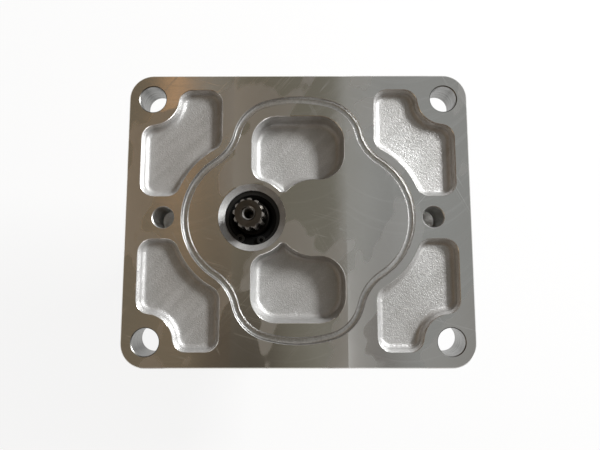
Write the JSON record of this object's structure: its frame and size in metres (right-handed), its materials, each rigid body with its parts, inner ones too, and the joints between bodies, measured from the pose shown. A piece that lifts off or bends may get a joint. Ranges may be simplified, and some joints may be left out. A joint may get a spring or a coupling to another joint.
{
  "type": "hydraulic gear pump",
  "caption": "External gear pump on a rectangular cast flange with cored pockets, a contoured face seal groove and a short splined drive shaft.",
  "frame": {"origin": "centre of the four flange bolts on the machined mounting face", "axes": "+Z out of the mounting face towards the driving machine, +X along the flange's long side, with the drive shaft on the -X side"},
  "size_m": [0.2, 0.17, 0.1511],
  "materials": {
    "cast_aluminium_flange": "machined face over shot-blasted casting",
    "cast_aluminium": "as cast",
    "extruded_aluminium": "extruded, fine draw lines",
    "block_aluminium": "machined",
    "shaft_steel": "case hardened and ground",
    "seal_rubber": "moulded",
    "backup_plastic": "moulded",
    "pressed_steel": "drawn",
    "spring_steel": "bright wire",
    "black_spring_steel": "phosphated and oiled",
    "zinc_plated_steel": "zinc plated",
    "bush_bronze": "bronze-lined plain bush"
  },
  "bodies": {
    "housing": {"front_cover": "cast_aluminium_flange", "pump_body": "extruded_aluminium", "rear_cover": "cast_aluminium", "front_bearing_block": "block_aluminium", "rear_bearing_block": "block_aluminium", "front_drive_bush": "bush_bronze", "front_driven_bush": "bush_bronze", "rear_drive_bush": "bush_bronze", "rear_driven_bush": "bush_bronze", "front_axial_seal": "seal_rubber", "rear_axial_seal": "seal_rubber", "front_backup_strip": "backup_plastic", "rear_backup_strip": "backup_plastic", "front_body_seal": "seal_rubber", "rear_body_seal": "seal_rubber", "shaft_seal": "seal_rubber", "seal_case": "pressed_steel", "garter_spring": "spring_steel", "seal_circlip": "black_spring_steel", "front_alignment_sleeves": "pressed_steel", "rear_alignment_sleeves": "pressed_steel", "body_bolts": "zinc_plated_steel", "bolt_washers": "zinc_plated_steel"},
    "drive_shaft": {"drive_gear_shaft": "shaft_steel"},
    "driven_shaft": {"driven_gear_shaft": "shaft_steel"}
  },
  "joints": [
    {"name": "drive_spin", "type": "hinge", "parent": "housing", "child": "drive_shaft", "pos_m": [-0.0266, 0, 0], "axis": [0, 0, 1], "continuous": true},
    {"name": "driven_spin", "type": "hinge", "parent": "housing", "child": "driven_shaft", "pos_m": [0.0094, 0, 0], "axis": [0, 0, 1], "continuous": true}
  ],
  "couplings": [
    {"joint": "driven_spin", "follows": "drive_spin", "ratio": -1}
  ]
}
